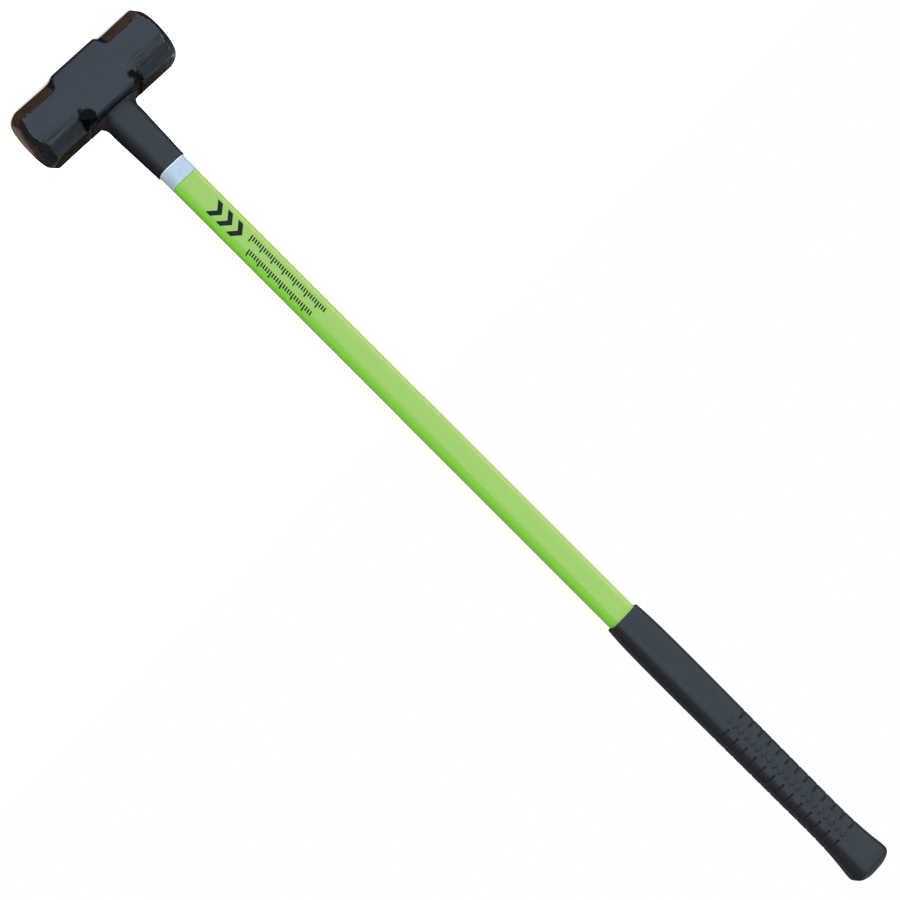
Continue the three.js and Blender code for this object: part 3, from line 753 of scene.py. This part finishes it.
def castEpoxy():
    # Cast epoxy poured round the rod: glossy amber brown with trapped bubbles.
    material, tree, shader, where = startMaterial("cast epoxy", inEye["epoxy"], 0.22, ior=1.55)
    bubble = addNode(tree, "TexVoronoi", {"Vector": where, "Scale": perMetre(inEye["bubbleSize"])})
    pit = addNode(tree, "MapRange", {0: bubble, 1: 0.22, 2: 0.1}, **eased)
    cloud = addNode(tree, "TexNoise", {"Vector": where, "Scale": perMetre(inEye["epoxyCloud"]),
                                       "Detail": 4.0})
    cloud = addNode(tree, "MapRange", {0: cloud, 1: 0.3, 2: 0.7}, **eased)
    amber = addNode(tree, "Mix", {0: cloud, 6: toLinear(inEye["epoxy"]),
                                  7: toLinear(inEye["epoxyLight"])}, 2, **inColour)
    amber = addNode(tree, "Mix", {0: pit, 6: amber, 7: toLinear(inEye["bubble"])}, 2, **inColour)
    gloss = addNode(tree, "MapRange", {0: cloud, 3: 0.16, 4: 0.32})
    sunk = addNode(tree, "Math", {0: pit, 1: -1.0}, **times)
    sunk = addNode(tree, "Bump", {"Height": sunk, "Distance": inEye["bubbleDepth"] * mm})
    feed(tree, shader, amber, gloss, sunk)
    return material


def pultrudedFibreglass():
    # Pultruded glass fibre: cream, with bundles of fibre running lengthwise
    # that show as specks on a cut end.
    material, tree, shader, where = startMaterial(
        "pultruded fibreglass", inEye["glass"], 0.5, ior=1.52)
    drawn = addNode(tree, "Mapping", {"Vector": where, "Scale": (1, 1, 1 / inEye["fibreLong"])})
    bundle = addNode(tree, "TexNoise", {"Vector": drawn, "Scale": perMetre(inEye["fibreBundle"]),
                                        "Detail": 3.0})
    speck = addNode(tree, "MapRange", {0: bundle, 1: 0.3, 2: 0.7}, **eased)
    fibre = addNode(tree, "Mix", {0: speck, 6: toLinear(inEye["glass"]),
                                  7: toLinear(inEye["glassShade"])}, 2, **inColour)
    satin = addNode(tree, "MapRange", {0: speck, 3: 0.42, 4: 0.62})
    ribbed = addNode(tree, "Bump", {"Height": bundle, "Distance": inEye["fibreDepth"] * mm})
    feed(tree, shader, fibre, satin, ribbed)
    return material


def dieCutNeoprene():
    # Die-cut neoprene: dull charcoal with fine pores.
    material, tree, shader, where = startMaterial("die-cut neoprene", inEye["neoprene"], 0.85)
    pore = addNode(tree, "TexNoise", {"Vector": where, "Scale": perMetre(inEye["pore"]),
                                      "Detail": 4.0})
    opening = addNode(tree, "MapRange", {0: pore, 1: 0.3, 2: 0.7}, **eased)
    coat = addNode(tree, "Mix", {0: opening, 6: toLinear(inEye["neoprene"]),
                                 7: toLinear(inEye["neopreneLight"])}, 2, **inColour)
    chalky = addNode(tree, "MapRange", {0: opening, 3: 0.8, 4: 0.95})
    pitted = addNode(tree, "Bump", {"Height": pore, "Distance": inEye["poreDepth"] * mm})
    feed(tree, shader, coat, chalky, pitted)
    return material


# these solids keep their shape, shaded smooth across edges up to sharpAngle
sharpAngle = math.radians(35)
keptFinishes = {
    "handle_jacket": mouldedPolypropylene(),
    "reflective_band": glassBeadFilm(),
    "eye_resin": castEpoxy(),
    "fibreglass_rod": pultrudedFibreglass(),
    "eye_seal": dieCutNeoprene(),
}
for name, finish in keptFinishes.items():
    node = nodes[name]
    node.data.materials.clear()
    node.data.materials.append(finish)
    node.data.polygons.foreach_set("use_smooth", [True] * len(node.data.polygons))
    weld = node.modifiers.new("weld", "WELD")
    weld.merge_threshold = weldReach
    edges = node.modifiers.new("edges", "EDGE_SPLIT")
    edges.split_angle = sharpAngle
print("solids finished:", ", ".join(keptFinishes))


marks = {
    "flatX": 5.8, "flatY": 4.1, "radius": 6.6,   # mm, the handle's section
    "under": 0.01, "over": 0.06,                 # mm, the film's two faces
    "colour": "#0e1110", "pinholeColour": "#27401c",
    "pinhole": 0.5, "satin": 2,                  # mm
    "tooth": 0.6, "toothDepth": 0.01,
    # rulings: where they start and end along the handle, from and to round it
    "rulings": (
        {"start": 199.5, "end": 286, "edge": -5.1, "long": 6.2, "short": 3.8},
        {"start": 206, "end": 279, "edge": 4.9, "long": 6.0, "short": 3.7},
    ),
    "pitch": 2.5, "stroke": 1.25, "lean": 1.1, "longEvery": 5,
    "chevronStart": 160.0, "chevronPitch": 11.5, "chevrons": 3,
    "chevronWidth": 14.5, "chevronRise": 6.0, "chevronStroke": 5.2, "chevronCentre": 1.2,
    "chevronGap": 0.02,                          # mm between its two halves
    "patchStep": 0.6,                            # mm, fineness of a stroke's mesh
}


def onHandle(around, height, lift):
    # a distance round the front of the handle, from its middle, as a point
    over = abs(around) - marks["flatX"]
    turn = max(0, over) / marks["radius"]
    x = min(abs(around), marks["flatX"]) + (marks["radius"] + lift) * math.sin(turn)
    y = -marks["flatY"] - (marks["radius"] + lift) * math.cos(turn)
    return (math.copysign(x, around) * mm, y * mm, height * mm)


def inkPatch(points, faces, fromEdge, toEdge, startAt, endAt, stroke):
    # A leaning stroke: it runs from fromEdge to toEdge round the handle while
    # its near side moves from startAt to endAt along it.
    steps = max(2, int(abs(toEdge - fromEdge) / marks["patchStep"]))
    first = len(points)
    for i in range(steps + 1):
        part = i / steps
        around = fromEdge + (toEdge - fromEdge) * part
        along = startAt + (endAt - startAt) * part
        for height, lift in ((along, marks["under"]), (along, marks["over"]),
                             (along + stroke, marks["over"]), (along + stroke, marks["under"])):
            points.append(onHandle(around, height, lift))
    for i in range(steps):
        a, b = first + 4 * i, first + 4 * (i + 1)
        for k in range(4):
            faces.append((a + k, a + (k + 1) % 4, b + (k + 1) % 4, b + k))
    faces.append((first, first + 1, first + 2, first + 3))
    last = first + 4 * steps
    faces.append((last, last + 1, last + 2, last + 3))


def printMarks():
    points, faces = [], []
    for ruling in marks["rulings"]:
        count = int((ruling["end"] - ruling["start"]) / marks["pitch"])
        for i in range(count):
            height = ruling["start"] + i * marks["pitch"]
            size = ruling["long"] if i % marks["longEvery"] == 0 else ruling["short"]
            inkPatch(points, faces, ruling["edge"], ruling["edge"] + size,
                     height, height + marks["lean"] * size / ruling["long"], marks["stroke"])
    middle = marks["chevronCentre"]
    for i in range(marks["chevrons"]):
        base = marks["chevronStart"] + i * marks["chevronPitch"]
        tip = base + marks["chevronRise"]
        for side in (-1, 1):
            inkPatch(points, faces, middle + side * marks["chevronWidth"] / 2,
                     middle + side * marks["chevronGap"] / 2, base, tip, marks["chevronStroke"])
    piece = pieceFrom("handle_print", points, faces)
    piece.data.polygons.foreach_set("use_smooth", [False] * len(piece.data.polygons))
    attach(piece, "root")
    return piece


def screenInk():
    # Screen-printed ink: solid black, a touch duller than the plastic, with
    # pinholes and a slightly rough face.
    material, tree, shader, where = startMaterial("screen printed ink", marks["colour"], 0.4)
    shader.inputs["Specular IOR Level"].default_value = 0.2
    hole = addNode(tree, "TexNoise", {"Vector": where, "Scale": perMetre(marks["pinhole"]),
                                      "Detail": 3.0})
    hole = addNode(tree, "MapRange", {0: hole, 1: 0.66, 2: 0.74}, **eased)
    ink = addNode(tree, "Mix", {0: hole, 6: toLinear(marks["colour"]),
                                7: toLinear(marks["pinholeColour"])}, 2, **inColour)
    satin = addNode(tree, "TexNoise", {"Vector": where, "Scale": perMetre(marks["satin"]),
                                       "Detail": 3.0})
    satin = addNode(tree, "MapRange", {0: satin, 1: 0.3, 2: 0.7, 3: 0.36, 4: 0.5}, **eased)
    tooth = addNode(tree, "TexNoise", {"Vector": where, "Scale": perMetre(marks["tooth"]),
                                       "Detail": 2.0})
    tooth = addNode(tree, "Bump", {"Height": tooth, "Distance": marks["toothDepth"] * mm})
    feed(tree, shader, ink, satin, tooth)
    return material


printPiece = printMarks()
printPiece.data.materials.append(screenInk())
print("print laid:", len(printPiece.data.polygons), "faces")


studio = {
    "floorSize": 30.0,       # m
    "floorSquares": 8,       # along each side
    "floorGlow": 0.6,        # the white sheet is lit from below
    "sheet": "#f7f7f7", "sheetShade": "#f6f6f6", "sheetLight": "#f9f9f9",
    "sheetCloud": 60,        # mm
    "worldStrength": 1.0,
    # softboxes and reflector cards: middle, the point each faces, width and
    # height in m, colour, radiance, and how much it lights dull surfaces
    "lights": (
        ("front_softbox", (-0.9, -2.3, 1.1), (-0.9, 0, 1.1), 2.7, 2.2, "#d1e7ff", 1.6, 0.45),
        ("front_floor_card", (-0.85, -1.2, -0.02), (-0.85, -1.2, 1), 2.4, 2.2, "#d1e7ff", 1.6, 0.0),
        ("left_softbox", (-2.3, -1.2, 1.1), (0, -1.2, 1.1), 2.2, 2.2, "#e3ecf4", 1.3, 0.25),
        ("end_card", (0.5, 2.4, 1.1), (0.5, 0, 1.1), 0.6, 2.2, "#d9bba8", 0.5, 0.0),
        ("end_floor_card", (0.1, 0.15, -0.02), (0.1, 0.15, 1), 0.05, 0.22, "#d9bba8", 0.5, 0.0),
        ("back_right_softbox", (1.6, 2.3, 1.1), (1.0, 0, 1.1), 1.0, 2.2, "#d5e0ee", 0.15, 0.0),
        ("back_left_softbox", (-1.5, 2.3, 1.1), (-1.0, 0, 1.1), 1.6, 2.2, "#d5e0ee", 0.6, 0.0),
        ("top_softbox", (-0.3, 0, 2.6), (-0.3, 0, 0), 2.2, 2.6, "#d3f1ff", 0.76, 0.15),
    ),
}
camera = {
    "azimuth": 12.5,     # degrees from square-on to the cheek, towards +X
    "distance": 1.824,   # m
    "height": 0.4334,
    "sideways": 0.0027,
    "lens": 90.6,        # mm, on the sensor below
    "sensor": 36,
    "clip": (0.05, 100),
    "roll": 135,         # the handle runs down to the right
}


def placeLight(name, middle, faces, width, height, colour, radiance, onDull):
    data = bpy.data.lights.new(name, "AREA")
    data.shape = "RECTANGLE"
    data.size, data.size_y = width, height
    data.color = toLinear(colour)[:3]
    data.energy = radiance * math.pi * width * height
    data.diffuse_factor = onDull
    light = bpy.data.objects.new(name, data)
    light.location = middle
    light.rotation_euler = (Vector(faces) - Vector(middle)).to_track_quat("-Z", "Y").to_euler()
    light.visible_camera = False
    bpy.context.scene.collection.objects.link(light)


def layFloor():
    # White acrylic sheet, lit from below so that it stays pale.
    half, steps = studio["floorSize"] / 2, studio["floorSquares"]
    side = [-half + 2 * half * i / steps for i in range(steps + 1)]
    points = [(x, y, 0) for y in side for x in side]
    row = steps + 1
    faces = [(j * row + i, j * row + i + 1, (j + 1) * row + i + 1, (j + 1) * row + i)
             for j in range(steps) for i in range(steps)]
    floor = pieceFrom("floor", points, faces)
    material, tree, shader, where = startMaterial("white acrylic sheet", studio["sheet"], 0.6)
    cloud = addNode(tree, "TexNoise", {"Vector": where, "Scale": perMetre(studio["sheetCloud"]),
                                       "Detail": 2.0})
    sheet = addNode(tree, "Mix", {0: cloud, 6: toLinear(studio["sheetShade"]),
                                  7: toLinear(studio["sheetLight"])}, 2, **inColour)
    tree.links.new(sheet, shader.inputs["Base Color"])
    shader.inputs["Emission Color"].default_value = (1, 1, 1, 1)
    shader.inputs["Emission Strength"].default_value = studio["floorGlow"]
    shader.inputs["Specular IOR Level"].default_value = 0.0
    floor.data.materials.append(material)
    floor.visible_glossy = False
    floor.visible_shadow = False


def setWorld():
    world = bpy.data.worlds.new("white studio")
    world.use_nodes = True
    backdrop = world.node_tree.nodes["Background"]
    backdrop.inputs["Color"].default_value = (1, 1, 1, 1)
    backdrop.inputs["Strength"].default_value = studio["worldStrength"]
    bpy.context.scene.world = world
    world.cycles_visibility.glossy = False


def setCamera():
    angle = math.radians(camera["azimuth"])
    towards = Vector((-math.sin(angle), math.cos(angle), 0))
    right = Vector((math.cos(angle), math.sin(angle), 0))
    data = bpy.data.cameras.new("camera")
    data.lens = camera["lens"]
    data.sensor_width = camera["sensor"]
    data.clip_start, data.clip_end = camera["clip"]
    thing = bpy.data.objects.new("camera", data)
    bpy.context.scene.collection.objects.link(thing)
    place = right * camera["sideways"] - towards * camera["distance"]
    place.z += camera["height"]
    upright = Matrix((right, Vector((0, 0, 1)), -towards)).transposed().to_4x4()
    rolled = Matrix.Rotation(math.radians(camera["roll"]), 4, "Z")
    thing.matrix_world = Matrix.Translation(place) @ upright @ rolled
    bpy.context.scene.camera = thing


layFloor()
for entry in studio["lights"]:
    placeLight(*entry)
setWorld()
setCamera()
bpy.context.scene.view_settings.view_transform = "Standard"
print("studio set")
